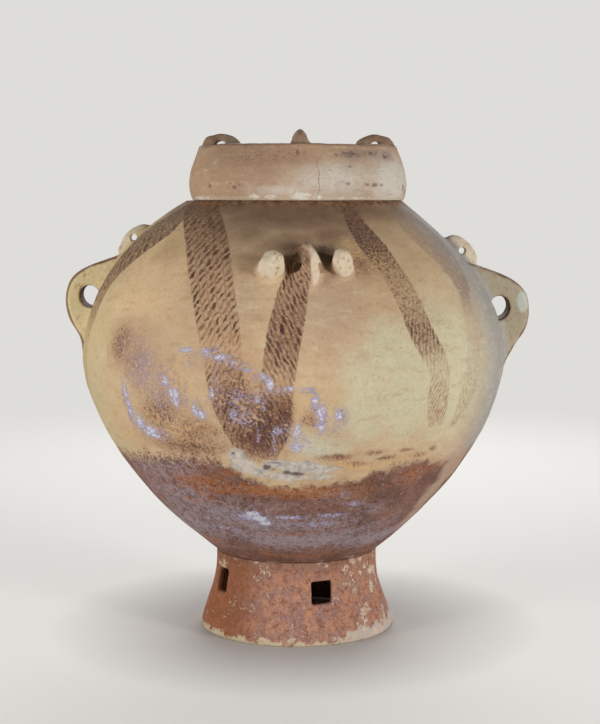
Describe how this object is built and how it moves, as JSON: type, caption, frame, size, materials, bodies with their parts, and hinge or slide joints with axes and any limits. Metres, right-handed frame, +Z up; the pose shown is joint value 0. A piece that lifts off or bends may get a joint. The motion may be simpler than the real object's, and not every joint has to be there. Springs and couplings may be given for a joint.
{
  "type": "burial jar",
  "caption": "Lidded pottery burial jar: round painted body on a windowed pedestal foot, pierced side handles, cord lugs and knobs on the shoulder, lift-off bowl lid with cord loops.",
  "frame": {"origin": "on the jar's axis, on the plane that the foot stands on", "axes": "+Z up along the jar's axis, front with the lug between two knobs towards -Y, handles on +X and -X"},
  "size_m": [0.55, 0.496, 0.586],
  "materials": {
    "red_slip": "worn red-brown slip on coarse earthenware, mauve and white salts",
    "painted_slip": "buff slip with dark brushed zigzag bands, matt and weathered",
    "lid_clay": "plain buff earthenware, matt, with filled cracks"
  },
  "bodies": {
    "jar": {"pedestal_foot": "red_slip", "lower_body": "red_slip", "upper_body": "painted_slip", "neck_collar": "painted_slip", "left_handle": "painted_slip", "right_handle": "painted_slip", "front_lug": "painted_slip", "right_lug": "painted_slip", "back_lug": "painted_slip", "left_lug": "painted_slip", "left_knob": "painted_slip", "right_knob": "painted_slip"},
    "lid": {"lid_wall": "lid_clay", "lid_top": "lid_clay", "lid_lug_front": "lid_clay", "lid_lug_right": "lid_clay", "lid_lug_back": "lid_clay", "lid_lug_left": "lid_clay"}
  },
  "joints": [
    {"name": "lid_lift", "type": "slide", "parent": "jar", "child": "lid", "axis": [0, 0, 1], "range_m": [0, 0.25]}
  ]
}
